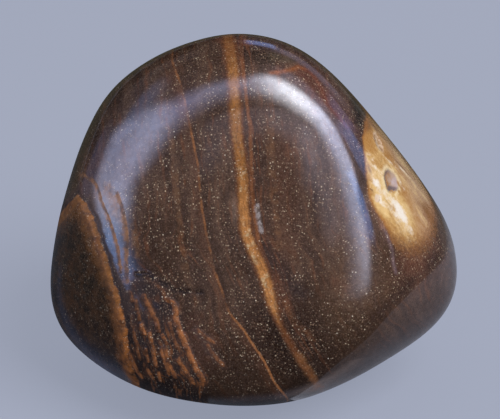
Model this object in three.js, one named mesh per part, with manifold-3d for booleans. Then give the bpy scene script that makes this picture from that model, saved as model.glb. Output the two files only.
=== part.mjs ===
// A tumbled boulder opal: one piece of brown ironstone with thin opal seams, polished by tumbling.
// It stands on the small flat worn into its lower side, so its broad face leans back a little.
//
// Millimetres. The row frame has +X along the broad face, +Y to the back of the stone and +Z up, and its
// origin is on the surface that the stone stands on, under the middle of its bounding box.
//
// The stone is first shaped in its face frame: x to the right along the broad face, y up along it, z out of it,
// with the origin in the middle of the stone. Last, it is leaned back and set down on its worn flat.

import * as THREE from 'three';
import { mergeVertices } from 'three/addons/utils/BufferGeometryUtils.js';
import Module from 'manifold-3d';

// ---- driving dimensions ----

const LEAN = 27;          // degrees that the broad face leans back from upright
const SHARPNESS = 12;     // how tightly the edges between the flats are rounded: higher is sharper
const GRID = 25;          // cells along each side of the cube grid that carries the surface
const BASE_WEAR = 0.35;   // how much of the underside is worn away to the flat that it stands on

// The flats that tumbling wore on the stone. around: the way each one faces round the broad face, in degrees
// anticlockwise from +x. tilt: how far it turns away from the broad face, in degrees. reach: its distance from
// the middle of the stone.
const FLATS = [
  { name: 'broad face', around: 90, tilt: 2, reach: 8.6 },
  // the shoulder round the broad face
  { name: 'crown', around: 97, tilt: 42, reach: 12.4 },
  { name: 'right crown', around: 50, tilt: 45, reach: 12.3 },
  { name: 'right shoulder', around: 5, tilt: 42, reach: 12.4 },
  { name: 'left shoulder', around: 143, tilt: 36, reach: 11.5 },
  { name: 'left cheek', around: 150, tilt: 62, reach: 13.8 },
  { name: 'lower left cheek', around: 200, tilt: 46, reach: 13.2 },
  { name: 'golden flat', around: 24, tilt: 60, reach: 12.2 },
  { name: 'lower right flat', around: 306, tilt: 66, reach: 14.6 },
  // the girdle, which is the stone's outline seen square on
  { name: 'top', around: 103, tilt: 88, reach: 14.4 },
  { name: 'top right', around: 69, tilt: 88, reach: 13.6 },
  { name: 'upper left', around: 127, tilt: 88, reach: 14.8 },
  { name: 'left', around: 165, tilt: 88, reach: 14.4 },
  { name: 'left corner', around: 177, tilt: 88, reach: 16.9 },
  { name: 'lower left corner', around: 191, tilt: 85, reach: 18.4 },
  { name: 'lower left', around: 237, tilt: 84, reach: 15.8 },
  { name: 'bottom', around: 267, tilt: 84, reach: 14.2 },
  { name: 'lower right', around: 299, tilt: 94, reach: 14.4 },
  { name: 'right tip', around: 350, tilt: 90, reach: 16.6 },
  { name: 'right tip top', around: 19, tilt: 90, reach: 16.9 },
  { name: 'upper right', around: 39, tilt: 88, reach: 11.7 },
  // the back, and the side that it stands on
  { name: 'back', around: 60, tilt: 174, reach: 9.2 },
  { name: 'back left', around: 165, tilt: 128, reach: 13.4 },
  { name: 'back right', around: 350, tilt: 132, reach: 13.8 },
  { name: 'back top', around: 85, tilt: 128, reach: 12.8 },
  { name: 'back lower right', around: 308, tilt: 126, reach: 14.6 },
  { name: 'back lower left', around: 225, tilt: 126, reach: 14.8 },
  { name: 'standing side', around: 270, tilt: 90 + LEAN, reach: 12.6 },
];

// The ledge at the left of the broad face, where a harder layer stands proud of the softer one beside it.
const LEDGE = {
  // the broken edge of the layer on the broad face, as [x, y] from its upper tip down to the underside
  edge: [
    [-14.4, 0.2], [-12.7, 1.8], [-12.1, 1.3], [-11.7, 0.5], [-11.1, -0.5], [-10.8, -1.8], [-10.2, -3.3],
    [-10.0, -4.2], [-9.5, -5.7], [-9.1, -6.9], [-9.0, -8.0], [-8.8, -10.2], [-8.2, -12.0], [-7.8, -14.6],
  ],
  rise: 0.25,        // height of the step at its edge
  fade: 3.2,         // distance to the left over which the layer falls back to the stone's own shape
  sink: 0.06,        // how far the layer ends below the stone's own surface, so that the two meet cleanly
  front: [78, 64],   // tilt over which the layer grows from nothing, at the girdle, to its full height
  left: -20,         // x well outside the stone, where the outline of the layer closes
};

// Narrow ridges to the right of the ledge, where thinner hard layers stand proud. points: [x, y] on the broad face,
// from the upper end down. half: half of the width.
const RIDGES = [
  {
    points: [[-6.1, -5.6], [-5.4, -5.9], [-5.3, -7.2], [-4.9, -8.3], [-4.4, -9.5], [-3.9, -10.6], [-3.4, -11.3]],
    half: 0.22,
  },
  { points: [[-7.7, -5.4], [-7.3, -6.1], [-6.8, -7.1], [-6.6, -7.9]], half: 0.22 },
  { points: [[-6.4, -8.2], [-6.1, -8.6], [-6.1, -9.5], [-5.9, -10.3], [-5.4, -11.2]], half: 0.17 },
  { points: [[-7.95, -7.4], [-7.75, -7.8], [-7.6, -8.2]], half: 0.18 },
  { points: [[-7.3, -8.1], [-7.1, -8.8], [-7.0, -9.5], [-6.8, -10.4]], half: 0.17 },
  { points: [[-5.3, -9.9], [-4.7, -10.7], [-4.1, -11.6]], half: 0.17 },
  { points: [[-7.65, -9.1], [-7.5, -9.7], [-7.35, -10.2]], half: 0.14 },
];
const RIDGE_RISE = 0.12;

// Shallow hollows in the golden flat, each cut by an ellipsoid: the way it lies from the middle of the stone, its
// size up and across the flat, and its depth.
const PITS = [
  { name: 'large pit', around: 15.5, tilt: 61, height: 1.8, width: 1.6, depth: 0.3 },
  { name: 'small pit', around: 30.5, tilt: 66.5, height: 1.4, width: 0.8, depth: 0.16 },
  { name: 'least pit', around: 9.5, tilt: 50.9, height: 0.6, width: 0.5, depth: 0.08 },
];
const PIT_DETAIL = 3;     // subdivisions of each ellipsoid

const IRONSTONE_COLOUR = 0x4a352b;

// ---- the shape as a function of direction ----

// The unit vector that points the given way from the middle of the stone, in the face frame.
function pointing(around, tilt) {
  const a = THREE.MathUtils.degToRad(around);
  const t = THREE.MathUtils.degToRad(tilt);
  return new THREE.Vector3(Math.cos(a) * Math.sin(t), Math.sin(a) * Math.sin(t), Math.cos(t));
}

const flatNormals = FLATS.map((flat) => pointing(flat.around, flat.tilt).divideScalar(flat.reach));

// Distance from the middle to the surface along a unit direction. Each flat alone would be met at
// 1 / (direction . normal / reach), and a high power mean of all of them rounds the edges between them.
function reachAlong(direction) {
  let sum = 0;
  for (const normal of flatNormals) {
    sum += Math.max(0, direction.dot(normal)) ** SHARPNESS;
  }
  return sum ** (-1 / SHARPNESS);
}

function basePoint(direction) {
  return direction.clone().multiplyScalar(reachAlong(direction));
}

// x of the ledge's edge at height y, by straight lines between its points.
function ledgeEdge(y) {
  const points = LEDGE.edge;
  for (let i = 1; i < points.length; i += 1) {
    const [x0, y0] = points[i - 1];
    const [x1, y1] = points[i];
    if (y >= y1 && y <= y0) {
      return THREE.MathUtils.lerp(x0, x1, (y0 - y) / (y0 - y1));
    }
  }
  return points[1][0];
}

// A point on the top of the harder layer: highest at the ledge's edge, and falling below the stone's own surface
// to the left of it and towards the girdle.
function layerPoint(direction) {
  const point = basePoint(direction);
  const fromEdge = Math.max(0, ledgeEdge(point.y) - point.x);
  const tilt = THREE.MathUtils.radToDeg(Math.acos(direction.z));
  const front = 1 - THREE.MathUtils.smoothstep(tilt, LEDGE.front[1], LEDGE.front[0]);
  const rise = (LEDGE.rise + LEDGE.sink) * Math.exp(-fromEdge / LEDGE.fade) * front - LEDGE.sink;
  return point.addScaledVector(direction, rise);
}

// A point on the top of the ridges: everywhere the same height above the stone's own surface.
function ridgePoint(direction) {
  return basePoint(direction).addScaledVector(direction, RIDGE_RISE);
}

// ---- solids ----

// The grid of a cube, each vertex pushed out to a surface. The tangent spaces the grid evenly by angle.
function pebbleGeometry(surfacePoint) {
  const cube = new THREE.BoxGeometry(2, 2, 2, GRID, GRID, GRID);
  cube.deleteAttribute('normal');
  cube.deleteAttribute('uv');
  const geometry = mergeVertices(cube, 1e-5);
  const position = geometry.getAttribute('position');
  const even = (value) => Math.tan(value * Math.PI / 4);
  for (let i = 0; i < position.count; i += 1) {
    const direction = new THREE.Vector3(even(position.getX(i)), even(position.getY(i)), even(position.getZ(i)));
    const point = surfacePoint(direction.normalize());
    position.setXYZ(i, point.x, point.y, point.z);
  }
  return geometry;
}

// The ellipsoid that cuts one pit, centred on the surface. The flat's outward way is taken across the pit from
// three close points of the surface.
function pitGeometry(pit) {
  const direction = pointing(pit.around, pit.tilt);
  const centre = basePoint(direction);
  const nearby = 2;
  const round = basePoint(pointing(pit.around + nearby, pit.tilt)).sub(centre);
  const back = basePoint(pointing(pit.around, pit.tilt + nearby)).sub(centre);
  const outward = back.cross(round).normalize();
  const across = new THREE.Vector3(0, 1, 0).cross(outward).normalize();
  const up = outward.clone().cross(across);

  const geometry = new THREE.IcosahedronGeometry(1, PIT_DETAIL);
  geometry.deleteAttribute('normal');
  geometry.deleteAttribute('uv');
  geometry.scale(pit.width / 2, pit.height / 2, pit.depth);
  geometry.applyMatrix4(new THREE.Matrix4().makeBasis(across, up, outward).setPosition(centre));
  return mergeVertices(geometry, 1e-5);
}

// A block with the given outline of [x, y] points on the broad face, from the girdle forwards.
function blockGeometry(outline) {
  const shape = new THREE.Shape(outline.map(([x, y]) => new THREE.Vector2(x, y)));
  const geometry = new THREE.ExtrudeGeometry(shape, { depth: 20, bevelEnabled: false });
  geometry.deleteAttribute('normal');
  geometry.deleteAttribute('uv');
  return mergeVertices(geometry, 1e-5);
}

// The outline of the harder layer: all that is to the left of the ledge's edge.
function layerOutline() {
  const lowest = LEDGE.edge[LEDGE.edge.length - 1][1];
  return [[LEDGE.left, LEDGE.edge[0][1]], [LEDGE.left, lowest], ...[...LEDGE.edge].reverse()];
}

// The outline of a ridge: down its left side and back up its right side, pointed at both ends.
function ridgeOutline({ points, half }) {
  const left = [];
  const right = [];
  for (let i = 1; i < points.length - 1; i += 1) {
    const dx = points[i + 1][0] - points[i - 1][0];
    const dy = points[i + 1][1] - points[i - 1][1];
    const length = Math.hypot(dx, dy);
    const [x, y] = points[i];
    left.push([x + half * dy / length, y - half * dx / length]);
    right.unshift([x - half * dy / length, y + half * dx / length]);
  }
  return [points[0], ...left, points[points.length - 1], ...right];
}

const wasm = await Module();
wasm.setup();

function toSolid(geometry) {
  const mesh = new wasm.Mesh({
    numProp: 3,
    vertProperties: new Float32Array(geometry.getAttribute('position').array),
    triVerts: new Uint32Array(geometry.getIndex().array),
  });
  return new wasm.Manifold(mesh);
}

function toGeometry(solid) {
  const mesh = solid.getMesh();
  const geometry = new THREE.BufferGeometry();
  geometry.setAttribute('position', new THREE.BufferAttribute(mesh.vertProperties, mesh.numProp));
  geometry.setIndex(new THREE.BufferAttribute(mesh.triVerts, 1));
  geometry.computeVertexNormals();
  return geometry;
}

// A block whose top is the surface z = 0, to cut the worn flat.
function groundGeometry(width, depth) {
  const block = new THREE.BoxGeometry(width, width, depth);
  block.deleteAttribute('normal');
  block.deleteAttribute('uv');
  block.translate(0, 0, -depth / 2);
  return mergeVertices(block, 1e-5);
}

function buildStone() {
  // Shaped in the face frame.
  const layer = toSolid(pebbleGeometry(layerPoint)).intersect(toSolid(blockGeometry(layerOutline())));
  let solid = toSolid(pebbleGeometry(basePoint)).add(layer);
  const ridged = toSolid(pebbleGeometry(ridgePoint));
  for (const ridge of RIDGES) {
    solid = solid.add(ridged.intersect(toSolid(blockGeometry(ridgeOutline(ridge)))));
  }
  for (const pit of PITS) {
    solid = solid.subtract(toSolid(pitGeometry(pit)));
  }

  // From the face frame to the row frame: lean back, set down and wear away the flat on z = 0.
  const stone = toGeometry(solid).rotateX(THREE.MathUtils.degToRad(90 - LEAN));
  stone.computeBoundingBox();
  const { min, max } = stone.boundingBox;
  stone.translate(-(min.x + max.x) / 2, -(min.y + max.y) / 2, -(min.z + BASE_WEAR));
  return toGeometry(toSolid(stone).subtract(toSolid(groundGeometry(60, 10))));
}

const material = new THREE.MeshStandardMaterial({ color: IRONSTONE_COLOUR, roughness: 0.25, metalness: 0 });
const stone = new THREE.Mesh(buildStone(), material);
stone.name = 'boulder_opal';

const group = new THREE.Group();
group.add(stone);

export default group;
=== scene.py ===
"""A tumbled boulder opal: a polished pebble of sandy brown ironstone, crossed by thin caramel opal seams.

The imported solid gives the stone's place and size. One finer stone takes its place: the same worn flats, with
the ledge, the ridges, the pits and the seams cut and coloured in detail.

Sizes are in millimetres in the stone's face frame, x to the right along the broad face, y up along it and z
out of it, until stand_up() turns them into metres in the row frame.
"""

import math

import bpy
import numpy as np
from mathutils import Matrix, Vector


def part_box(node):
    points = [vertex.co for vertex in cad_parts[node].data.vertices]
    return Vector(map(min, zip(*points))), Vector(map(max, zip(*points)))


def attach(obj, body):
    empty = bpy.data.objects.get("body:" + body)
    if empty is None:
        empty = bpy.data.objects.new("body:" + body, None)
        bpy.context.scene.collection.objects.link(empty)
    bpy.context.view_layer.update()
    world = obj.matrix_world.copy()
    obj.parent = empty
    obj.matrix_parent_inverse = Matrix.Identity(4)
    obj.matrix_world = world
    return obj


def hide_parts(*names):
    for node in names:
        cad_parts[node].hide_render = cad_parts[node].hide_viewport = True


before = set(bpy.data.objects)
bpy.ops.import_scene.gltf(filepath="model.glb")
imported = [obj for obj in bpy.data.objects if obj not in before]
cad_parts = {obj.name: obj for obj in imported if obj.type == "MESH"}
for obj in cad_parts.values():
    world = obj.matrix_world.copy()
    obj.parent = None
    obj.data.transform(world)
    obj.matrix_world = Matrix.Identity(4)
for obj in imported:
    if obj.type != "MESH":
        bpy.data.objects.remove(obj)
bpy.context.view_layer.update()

NODE = "boulder_opal"
cad_low, cad_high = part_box(NODE)

MM = 0.001

# ---- the stone's form, as in the solid ----

LEAN = 27.0          # degrees that the broad face leans back from upright
SHARPNESS = 12.0     # how tightly the edges between the worn flats are rounded

# around: degrees anticlockwise from +x round the broad face. tilt: degrees away from it. reach: mm from the
# middle.
WORN_FLATS = np.array([
    # around, tilt, reach
    (90, 2, 8.6),       # broad face
    (97, 42, 12.4),     # crown
    (50, 45, 12.3),     # right crown
    (5, 42, 12.4),      # right shoulder
    (143, 36, 11.5),    # left shoulder
    (150, 62, 13.8),    # left cheek
    (200, 46, 13.2),    # lower left cheek
    (24, 60, 12.2),     # golden flat
    (306, 66, 14.6),    # lower right flat
    (103, 88, 14.4),    # top
    (69, 88, 13.6),     # top right
    (127, 88, 14.8),    # upper left
    (165, 88, 14.4),    # left
    (177, 88, 16.9),    # left corner
    (191, 85, 18.4),    # lower left corner
    (237, 84, 15.8),    # lower left
    (267, 84, 14.2),    # bottom
    (299, 94, 14.4),    # lower right
    (350, 90, 16.6),    # right tip
    (19, 90, 16.9),     # right tip top
    (39, 88, 11.7),     # upper right
    (60, 174, 9.2),     # back
    (165, 128, 13.4),   # back left
    (350, 132, 13.8),   # back right
    (85, 128, 12.8),    # back top
    (308, 126, 14.6),   # back lower right
    (225, 126, 14.8),   # back lower left
    (270, 90 + LEAN, 12.6),   # standing side
])

GOLDEN_FLAT = WORN_FLATS[7]

# ---- mesh ----

CELLS = 126          # cells along each side of the cube grid
GATHER = 2.0         # how far the grid gathers towards the ridges at the lower left of the broad face
GATHER_TOWARDS = (226, 50)   # around, tilt
GATHER_REACH = 42.0          # degrees

# ---- layers and seams, as [x, y] points on the broad face ----

MAIN_SEAM = [
    (-1.85, 13.2), (-1.45, 11.0), (-1.3, 8.4), (-1.2, 6.5), (-1.0, 4.9), (-0.7, 2.6), (-0.7, 1.0),
    (-0.5, -1.0), (0.0, -2.2), (0.5, -3.2), (1.0, -4.6), (1.4, -6.2), (1.9, -7.5), (2.7, -8.9),
    (3.5, -10.2), (4.4, -11.5), (6.0, -14.0),
]
FAINT_SEAM = [
    (-0.9, 12.5), (-0.7, 10.4), (-0.5, 8.8), (-0.2, 6.4), (-0.1, 2.4), (0.0, 1.0), (0.2, -0.3), (0.35, -1.3),
    (0.8, -3.0),
]
THIN_SEAM = [
    (-5.9, 11.5), (-5.2, 9.7), (-4.7, 7.7), (-4.3, 5.7), (-3.9, 3.7), (-3.7, 1.2), (-3.3, -1.1), (-2.7, -3.7),
    (-2.2, -5.1), (-1.7, -6.6), (-0.7, -7.8), (0.0, -8.9), (0.7, -9.9), (1.6, -11.7), (2.5, -12.8),
]
LEDGE_EDGE = [
    (-12.7, 1.8), (-12.1, 1.3), (-11.7, 0.5), (-11.1, -0.5), (-10.8, -1.8), (-10.2, -3.3), (-10.0, -4.2),
    (-9.5, -5.7), (-9.1, -6.9), (-9.0, -8.0), (-8.8, -10.2), (-8.2, -12.0), (-7.8, -14.6),
]
LEDGE_TIP = LEDGE_EDGE[0]    # where the ledge's edge and its upper end meet
LEDGE_END = (-14.4, 0.2)     # the far end of its upper end, on the girdle
LEDGE_RISE = 0.24
LEDGE_FADE = 3.2             # mm over which the ledge falls back to the worn form
LEDGE_TEETH = 0.11           # mm that the teeth of its broken edge stand out
LEDGE_FRONT = (78.0, 64.0)   # tilt over which the ledge grows from nothing to its full height

# Ridges of harder layers at the lower left: points, half width, height and how strong their colour is.
RIDGES = [
    ([(-6.1, -5.6), (-5.4, -5.9), (-5.3, -7.2), (-4.9, -8.3), (-4.4, -9.5), (-3.9, -10.6), (-3.4, -11.3)],
     0.2, 0.13, 0.9),
    ([(-7.7, -5.4), (-7.3, -6.1), (-6.8, -7.1), (-6.6, -7.9)], 0.17, 0.1, 0.65),
    ([(-6.4, -8.2), (-6.1, -8.6), (-6.1, -9.5), (-5.9, -10.3), (-5.4, -11.2)], 0.13, 0.11, 0.95),
    ([(-8.7, -5.2), (-8.5, -5.8)], 0.12, 0.05, 0.4),
    ([(-8.3, -5.8), (-8.15, -6.4)], 0.12, 0.07, 0.6),
    ([(-8.1, -6.6), (-8.0, -7.1)], 0.12, 0.08, 0.7),
    ([(-7.9, -7.5), (-7.6, -8.1)], 0.14, 0.12, 1.0),
    ([(-7.3, -8.1), (-7.1, -8.8), (-7.0, -9.5), (-6.8, -10.4)], 0.13, 0.12, 1.0),
    ([(-7.6, -9.2), (-7.4, -10.1)], 0.11, 0.1, 0.9),
    ([(-6.5, -9.2), (-6.2, -10.2), (-5.9, -11.0)], 0.11, 0.08, 0.85),
    ([(-5.3, -9.9), (-4.7, -10.7), (-4.1, -11.6)], 0.14, 0.09, 0.7),
    ([(-3.9, -7.8), (-3.4, -8.2), (-3.0, -8.5), (-2.6, -8.7)], 0.13, 0.05, 0.4),
    ([(-3.2, -8.9), (-2.6, -9.7), (-2.0, -10.3)], 0.13, 0.05, 0.4),
    ([(-8.8, -9.6), (-8.5, -10.3), (-8.2, -10.9), (-7.9, -11.3)], 0.14, 0.1, 0.9),
    ([(-7.5, -10.7), (-7.0, -11.4)], 0.12, 0.08, 0.85),
    ([(-6.7, -10.9), (-6.5, -11.5)], 0.12, 0.08, 0.8),
    ([(-8.45, -8.0), (-8.2, -9.4), (-8.0, -10.0)], 0.11, 0.06, 0.55),
    ([(-6.9, -4.4), (-6.4, -4.9), (-6.2, -5.3)], 0.14, 0.05, 0.4),
    ([(-5.85, -7.3), (-5.6, -8.3), (-5.3, -9.2)], 0.12, 0.06, 0.45),
]
FIRST_RIDGE = RIDGES[0][0]
# Streaks of colour with no height: points, half width and strength.
STREAKS = [
    ([(-12.5, 3.3), (-12.0, 3.1), (-11.4, 2.8), (-11.0, 2.0), (-10.8, 1.2), (-10.3, 0.2), (-10.0, -0.7),
      (-9.6, -2.0), (-9.4, -3.8)], 0.16, 0.9),
    ([(-10.7, 2.5), (-10.2, 1.8)], 0.14, 0.6),
    ([(-9.7, 1.9), (-9.3, 0.9), (-9.1, -0.1), (-8.9, -1.2), (-9.0, -3.0), (-8.9, -4.4)], 0.22, 0.8),
    ([(-8.4, -0.5), (-8.2, -2.5)], 0.3, 0.3),
    ([(-10.3, 2.3), (-9.8, 1.3), (-9.6, 0.3)], 0.42, 0.5),
    ([(-5.7, 5.6), (-5.4, 3.5), (-5.2, 0.5), (-4.9, -2.0), (-4.4, -4.5)], 0.22, 0.18),
    ([(1.35, 7.0), (1.5, 3.0), (1.75, 0.0), (2.0, -2.0)], 0.3, 0.22),
    ([(3.5, -9.7), (4.2, -10.8), (4.7, -11.9)], 0.35, 0.25),
]
# Cracks, which run mainly in x: points and half width.
CRACKS = [
    ([(-8.3, -3.9), (-7.3, -4.0), (-6.6, -4.5), (-5.6, -4.95), (-4.7, -5.1), (-3.6, -5.15)], 0.17),
    ([(-1.2, 3.6), (-0.3, 3.3), (0.4, 2.9)], 0.05),
]
CRACK_DEPTH = 0.035
UNEVENNESS = 0.012           # mm that the whole surface is waved
CHIP_GLINT = [(0.36, 1.0), (0.42, 0.5), (0.54, -0.2), (0.7, -0.85)]     # a painted glint of light on a small chip beside the main seam
CHIP_GLINT_HALF_WIDTH = 0.11
DULL_PATH = [(-8.2, -4.9, 8.3), (-6.6, -5.2, 8.5)]   # a dull place above the ridges
DULL_HALF_WIDTH = 0.9
LOWER_RIGHT = (0.664, -0.748, 0.0)   # the direction of the lower right rim


def pointing(around, tilt):
    """Unit vectors: (cos around sin tilt, sin around sin tilt, cos tilt), angles in degrees."""
    a, t = np.radians(around), np.radians(tilt)
    return np.stack([np.cos(a) * np.sin(t), np.sin(a) * np.sin(t), np.cos(t) * np.ones_like(a)], axis=-1)


def smoothstep(low, high, value):
    """0 below low, 1 above high, and 3 t^2 - 2 t^3 between them, with t the share of the way."""
    t = np.clip((value - low) / (high - low), 0.0, 1.0)
    return t * t * (3.0 - 2.0 * t)


def band(start, full, full_end, end, value):
    """1 from full to full_end, with a smoothstep down to 0 at start and at end."""
    return smoothstep(start, full, value) * smoothstep(end, full_end, value)


def grid_quads(rows, columns):
    """Quads between the points of a grid, which are listed row after row."""
    corner = (np.arange(rows - 1)[:, None] * columns + np.arange(columns - 1)[None, :]).ravel()
    return np.stack([corner, corner + columns, corner + columns + 1, corner + 1], axis=1)


def cube_grid(cells):
    """Directions and quads of a cube whose six sides are each a grid of cells by cells.

    On the side that faces +x the direction is (1, tan(pi/4 a), tan(pi/4 b)) with a and b from -1 to 1, and
    the other sides are the same with the axes passed round. The tangent spaces the grid evenly by angle.
    Points on the cube's edges are shared by their whole-number place in the grid, so the surface is closed.
    """
    i, j = np.meshgrid(np.arange(cells + 1), np.arange(cells + 1), indexing="ij")
    quad = grid_quads(cells + 1, cells + 1)
    places, quads = [], []
    for axis in range(3):
        for side in (0, cells):
            place = np.empty((i.size, 3), int)
            place[:, axis] = side
            place[:, (axis + 1) % 3] = i.ravel()
            place[:, (axis + 2) % 3] = j.ravel()
            quads.append((quad if side else quad[:, ::-1]) + len(places) * i.size)
            places.append(place)
    shared, index = np.unique(np.concatenate(places), axis=0, return_inverse=True)
    directions = np.tan((shared / cells * 2.0 - 1.0) * math.pi / 4)
    return directions, index.ravel()[np.concatenate(quads)]


def gathered(directions):
    """Unit directions moved towards one of them, t, so that the grid is finer there.

    A direction d at the angle w from t becomes the unit vector of d + GATHER exp(-(w / GATHER_REACH)^2) t.
    """
    unit = directions / np.linalg.norm(directions, axis=1, keepdims=True)
    towards = pointing(*GATHER_TOWARDS)
    angle = np.degrees(np.arccos(np.clip(unit @ towards, -1.0, 1.0)))
    moved = unit + GATHER * np.exp(-(angle / GATHER_REACH) ** 2)[:, None] * towards
    return moved / np.linalg.norm(moved, axis=1, keepdims=True)


def worn_form(directions):
    """The stone's own surface: direction (sum over flats of max(0, direction . normal / reach)^p)^(-1/p)."""
    normals = pointing(WORN_FLATS[:, 0], WORN_FLATS[:, 1]) / WORN_FLATS[:, 2:3]
    met = np.maximum(directions @ normals.T, 0.0)
    reach = (met ** SHARPNESS).sum(axis=1) ** (-1.0 / SHARPNESS)
    return directions * reach[:, None]


def waves(t, lengths, seed):
    """A wavy line, roughly within -1 and 1: the mean of sine waves of these lengths, at seeded phases."""
    phases = np.random.default_rng(seed).uniform(0.0, 2.0 * math.pi, len(lengths))
    return sum(np.sin(2.0 * math.pi * t / length + at) for length, at in zip(lengths, phases)) / len(lengths)


LINE_REACH = 16.0    # mm, past the stone's top and bottom
LINE_STEP = 0.05     # mm between the places at which a line is worked out
LINE_WINDOW = 21     # how many of them are averaged, to round the line's corners


def line_x(points, y):
    """x of a smooth line through (x, y) points: straight pieces between them, averaged over about a mm."""
    xs, ys = np.array(points, float).T
    order = np.argsort(ys)
    steps = np.arange(-LINE_REACH, LINE_REACH + LINE_STEP / 2, LINE_STEP)
    straight = np.interp(steps, ys[order], xs[order])
    window = np.hanning(LINE_WINDOW)
    padded = np.pad(straight, LINE_WINDOW // 2, mode="edge")
    return np.interp(y, steps, np.convolve(padded, window / window.sum(), mode="valid"))


def across_line(points, p, lean=0.12, behind=2.0):
    """Signed distance in mm, in x and y, from a sheet that shows on the broad face as a line through points.

    It is (x - f(y)) / sqrt(1 + f'(y)^2). Behind z = 2 the sheet leans: x moves by lean times the depth there.
    """
    y = p[:, 1]
    x = p[:, 0] - lean * np.minimum(p[:, 2] - behind, 0.0)
    slope = (line_x(points, y + LINE_STEP) - line_x(points, y - LINE_STEP)) / (2.0 * LINE_STEP)
    return (x - line_x(points, y)) / np.sqrt(1.0 + slope ** 2)


def on_front(across, past, half_width, p):
    """sqrt(across^2 + past^2) / half width, and more towards the girdle, so that no line shows behind."""
    return np.sqrt(across ** 2 + past ** 2) / half_width + 6.0 * smoothstep(1.5, -0.5, p[:, 2])


def from_line(points, half_width, p):
    """Distance in half widths from a line on the front of the stone that ends at its end points.

    Past is the distance in y past the nearer end. Across counts twice on the right of the line and 0.6 times
    on the left, so each line is sharp on the right and fades to the left.
    """
    ys = [point[1] for point in points]
    past = np.maximum(np.maximum(p[:, 1] - max(ys), min(ys) - p[:, 1]), 0.0)
    across = across_line(points, p)
    across *= np.where(across > 0.0, 2.0, 0.6)
    return on_front(across, past, half_width, p)


def from_crack(points, half_width, p):
    """The same for a line that runs mainly in x, with small bends, and counts alike on both its sides."""
    xs, ys = np.array(points, float).T
    past = np.maximum(np.maximum(p[:, 0] - xs[-1], xs[0] - p[:, 0]), 0.0)
    across = p[:, 1] - np.interp(p[:, 0], xs, ys) - 0.09 * waves(p[:, 0], (1.7, 0.8), 5)
    return on_front(across, past, half_width, p)


def nearest(lines, p):
    """Distance in half widths from the nearest of several lines, and the strength of that line."""
    distances = np.array([from_line(line[0], line[1], p) for line in lines])
    strengths = np.array([line[-1] for line in lines])
    return distances.min(axis=0), strengths[distances.argmin(axis=0)]


# ---- the golden flat's own directions: u across it to the back, v up it ----

gold_out = pointing(GOLDEN_FLAT[0], GOLDEN_FLAT[1])
gold_across = np.cross((0.0, 1.0, 0.0), gold_out)
gold_across /= np.linalg.norm(gold_across)
gold_up = np.cross(gold_out, gold_across)

# Left edge of the gold as (u, v) points, from the bottom of the flat to its top.
GOLD_LEFT = [
    (2.4, -8.4), (0.6, -7.4), (-0.4, -6.7), (-0.9, -5.9), (-1.15, -5.0), (-1.5, -4.1), (-2.0, -3.2),
    (-2.18, -2.35), (-2.1, -1.6), (-1.97, -0.7), (-1.75, 0.2), (-1.44, 1.1), (-1.05, 2.0), (0.3, 3.3),
    (2.4, 4.4),
]
# Pits in the golden flat: around, tilt, half width across, half height up, depth.
PITS = [
    (15.6, 61.7, 0.9, 0.88, 0.22),
    (31.6, 67.3, 0.55, 0.85, 0.1),
    (9.5, 50.9, 0.24, 0.3, 0.05),
]


def on_gold(p):
    """Coordinates (u, v) in mm of points on the golden flat's own plane."""
    return p @ gold_across, p @ gold_up


def gold_edge(p):
    """How far inside the gold a point lies, in mm: the least of its distances from the gold's edges.

    The left edge is GOLD_LEFT, the back edge u = 8.1 - 0.07 (v - 0.5)^2 and the top edge
    v = 5.3 - 0.06 (u - 4)^2. The back and the top are a little wavy. They count 0.28 and 0.3 times, and the
    top of the left edge 0.35 times, so the gold fades out softly there. Only points more than 8 mm out along
    the flat's own direction are gold.
    """
    u, v = on_gold(p)
    us, vs = np.array(GOLD_LEFT).T
    left = (u - np.interp(v, vs, us)) * (1.0 - 0.65 * smoothstep(1.6, 3.2, v))
    back = 0.28 * (8.1 - 0.07 * (v - 0.5) ** 2 - u + 0.3 * waves(v, (4.1, 1.9), 11))
    top = 0.3 * (5.3 - 0.06 * (u - 4.0) ** 2 - v + 0.2 * waves(u, (3.1, 1.7), 12))
    return np.minimum.reduce([left, back, top, p @ gold_out - 8.0])


def pit_distance(pit, p):
    """Distance from a pit's middle over the size of the pit: 1 at its uneven rim.

    It is (|a|^2.5 + |b|^2.5 + |c|^2.5)^0.4 with a, b and c the shares of the half sizes across, up and out,
    where out has the half size of across. The pit leans a little.
    """
    around, tilt, half_width, half_height, _ = pit
    middle = worn_form(pointing(np.array([around]), np.array([tilt])))
    u, v = on_gold(p - middle)
    w = (p - middle) @ gold_out
    rim = 1.0 + 0.12 * waves(np.degrees(np.arctan2(v, u)), (360.0, 180.0, 120.0, 72.0), int(around))
    parts = np.stack([(u - 0.2 * v) / half_width, v / half_height, w / half_width])
    return (np.abs(parts) ** 2.5).sum(axis=0) ** 0.4 / rim


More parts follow.
